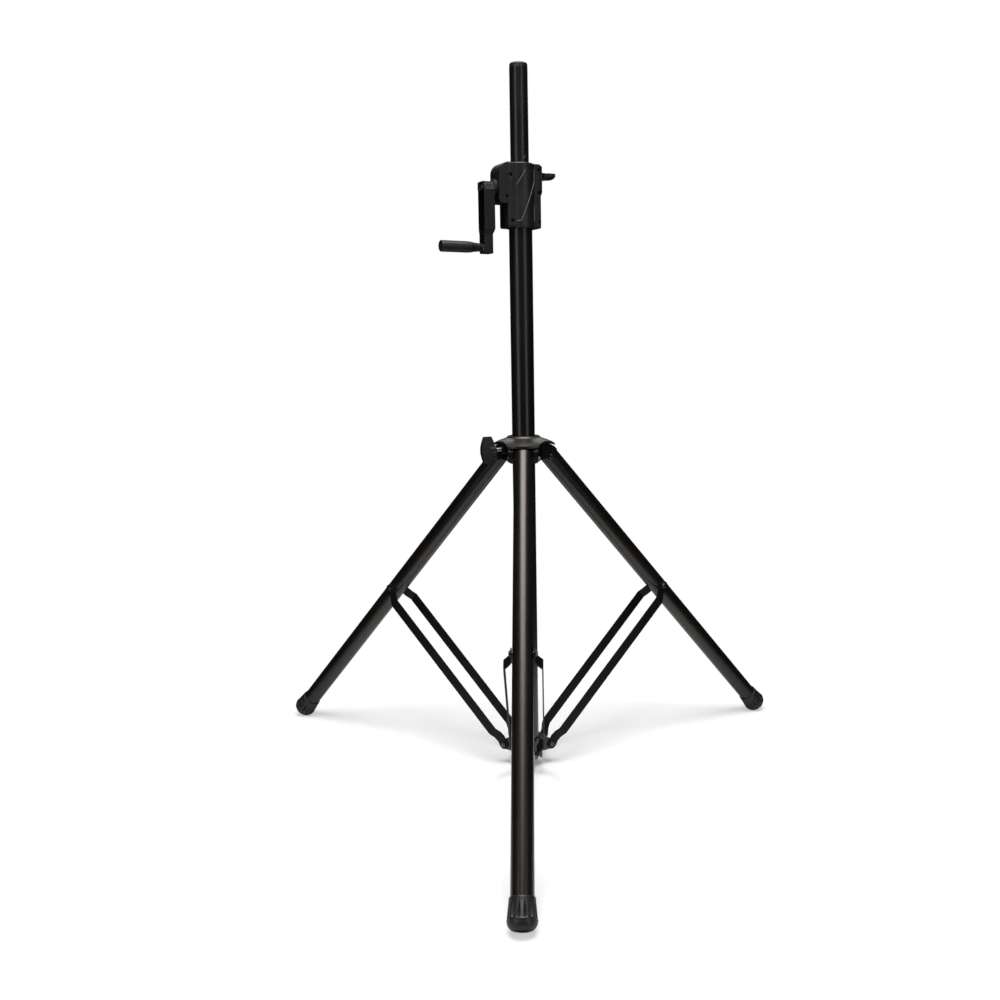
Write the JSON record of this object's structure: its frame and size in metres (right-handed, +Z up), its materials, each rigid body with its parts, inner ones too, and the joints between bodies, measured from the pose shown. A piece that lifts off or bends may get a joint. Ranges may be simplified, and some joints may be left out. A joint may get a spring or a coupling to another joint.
{
  "type": "crank lighting stand",
  "caption": "Tripod lighting stand with folding braced legs on a sliding hub and a hand crank that raises the inner mast.",
  "frame": {"origin": "on the mast axis at floor level, midway between the three feet", "axes": "+Z up the mast; the front leg points along -Y, the other two lie at 30 and 150 degrees from +X"},
  "size_m": [1.1136, 0.9707, 1.3854],
  "materials": {
    "black_steel": "satin black powder coat",
    "black_casting": "black painted casting",
    "black_plastic": "fine grained black moulding",
    "foot_rubber": "black moulded rubber",
    "plain_steel": "machined and zinc plated",
    "dark_fasteners": "black zinc plated",
    "bearing_plastic": "smooth dark grey nylon"
  },
  "bodies": {
    "stand": {"main_tube": "black_steel", "main_tube_plug": "black_plastic", "lower_collar": "black_steel", "collar_peg": "dark_fasteners", "collar_bolts": "dark_fasteners", "housing_front": "black_plastic", "housing_rear": "black_plastic", "housing_screws": "dark_fasteners", "mast_top_bush": "bearing_plastic", "mast_guide_bush": "bearing_plastic", "worm_shaft_bushes": "bearing_plastic", "gear_axle": "dark_fasteners"},
    "hub": {"hub_body": "black_casting", "hub_liner": "bearing_plastic", "hub_bolts": "dark_fasteners", "hub_cover": "black_casting"},
    "hub_lock": {"hub_knob": "black_plastic", "hub_knob_stud": "plain_steel", "hub_knob_tip": "bearing_plastic"},
    "mast": {"mast_tube": "black_steel", "mast_rack": "dark_fasteners", "mast_slider": "bearing_plastic", "spigot_tube": "black_steel", "spigot_sleeve": "plain_steel", "spigot_screws": "dark_fasteners", "spigot_cap": "black_plastic"},
    "crank": {"crank_shaft": "plain_steel", "worm": "plain_steel", "crank_boss": "black_plastic", "crank_nut": "dark_fasteners", "crank_arm": "black_steel", "crank_arm_head": "black_plastic", "crank_arm_rivets": "dark_fasteners", "grip_fold_pin": "dark_fasteners"},
    "grip_fold": {"grip_post": "plain_steel"},
    "grip": {"grip_handle": "black_plastic", "grip_end_cap": "black_plastic"},
    "gear": {"lift_gear": "plain_steel"},
    "mast_lock": {"mast_lock_knob": "black_plastic", "mast_lock_stud": "plain_steel", "mast_lock_tip": "bearing_plastic"},
    "brace_1": {"brace_1_bars": "black_steel"},
    "leg_1": {"leg_1_tube": "black_steel", "leg_1_top_plug": "black_plastic", "leg_1_foot": "foot_rubber", "leg_1_brace_bolt": "dark_fasteners"},
    "brace_2": {"brace_2_bars": "black_steel"},
    "leg_2": {"leg_2_tube": "black_steel", "leg_2_top_plug": "black_plastic", "leg_2_foot": "foot_rubber", "leg_2_brace_bolt": "dark_fasteners"},
    "brace_3": {"brace_3_bars": "black_steel"},
    "leg_3": {"leg_3_tube": "black_steel", "leg_3_top_plug": "black_plastic", "leg_3_foot": "foot_rubber", "leg_3_brace_bolt": "dark_fasteners"}
  },
  "joints": [
    {"name": "leg_fold", "type": "hinge", "parent": "stand", "child": "brace_1", "pos_m": [0, -0.046, 0.041], "axis": [1, 0, 0], "range_deg": [-40, 0]},
    {"name": "leg_1_hinge", "type": "hinge", "parent": "brace_1", "child": "leg_1", "pos_m": [0, -0.33259, 0.343], "axis": [1, 0, 0], "range_deg": [0, 80]},
    {"name": "brace_2_hinge", "type": "hinge", "parent": "stand", "child": "brace_2", "pos_m": [0.03984, 0.023, 0.041], "axis": [-0.5, 0.866, 0], "range_deg": [-40, 0]},
    {"name": "leg_2_hinge", "type": "hinge", "parent": "brace_2", "child": "leg_2", "pos_m": [0.28803, 0.16629, 0.343], "axis": [-0.5, 0.866, 0], "range_deg": [0, 80]},
    {"name": "brace_3_hinge", "type": "hinge", "parent": "stand", "child": "brace_3", "pos_m": [-0.03984, 0.023, 0.041], "axis": [-0.5, -0.866, 0], "range_deg": [-40, 0]},
    {"name": "leg_3_hinge", "type": "hinge", "parent": "brace_3", "child": "leg_3", "pos_m": [-0.28803, 0.16629, 0.343], "axis": [-0.5, -0.866, 0], "range_deg": [0, 80]},
    {"name": "hub_ride", "type": "hinge", "parent": "leg_1", "child": "hub", "pos_m": [0, -0.046, 0.645], "axis": [1, 0, 0], "range_deg": [-40, 0]},
    {"name": "crank_turn", "type": "hinge", "parent": "stand", "child": "crank", "pos_m": [0, 0, 1.157], "axis": [0.866, 0.5, 0], "range_deg": [0, 34377]},
    {"name": "mast_lift", "type": "slide", "parent": "stand", "child": "mast", "axis": [0, 0, 1], "range_m": [0, 0.6]},
    {"name": "gear_turn", "type": "hinge", "parent": "stand", "child": "gear", "pos_m": [-0.02754, -0.0159, 1.179], "axis": [0.5, -0.866, 0], "range_deg": [0, 2456]},
    {"name": "grip_fold_hinge", "type": "hinge", "parent": "crank", "child": "grip_fold", "pos_m": [-0.06625, -0.03825, 1.046], "axis": [-0.5, 0.866, 0], "range_deg": [0, 90]},
    {"name": "grip_spin", "type": "hinge", "parent": "grip_fold", "child": "grip", "pos_m": [-0.10392, -0.06, 1.046], "axis": [-0.866, -0.5, 0], "continuous": true},
    {"name": "hub_lock_turn", "type": "hinge", "parent": "hub", "child": "hub_lock", "pos_m": [-0.06062, -0.035, 0.6625], "axis": [-0.866, -0.5, 0], "range_deg": [0, 180]},
    {"name": "mast_lock_turn", "type": "hinge", "parent": "stand", "child": "mast_lock", "pos_m": [0.03897, 0.0225, 1.1835], "axis": [0.866, 0.5, 0], "range_deg": [0, 180]}
  ],
  "couplings": [
    {"joint": "leg_1_hinge", "follows": "leg_fold", "ratio": -2},
    {"joint": "brace_2_hinge", "follows": "leg_fold", "ratio": 1},
    {"joint": "leg_2_hinge", "follows": "leg_fold", "ratio": -2},
    {"joint": "brace_3_hinge", "follows": "leg_fold", "ratio": 1},
    {"joint": "leg_3_hinge", "follows": "leg_fold", "ratio": -2},
    {"joint": "hub_ride", "follows": "leg_fold", "ratio": 1},
    {"joint": "mast_lift", "follows": "crank_turn", "m_per_rad": 0.001},
    {"joint": "gear_turn", "follows": "crank_turn", "ratio": 0.071429}
  ]
}
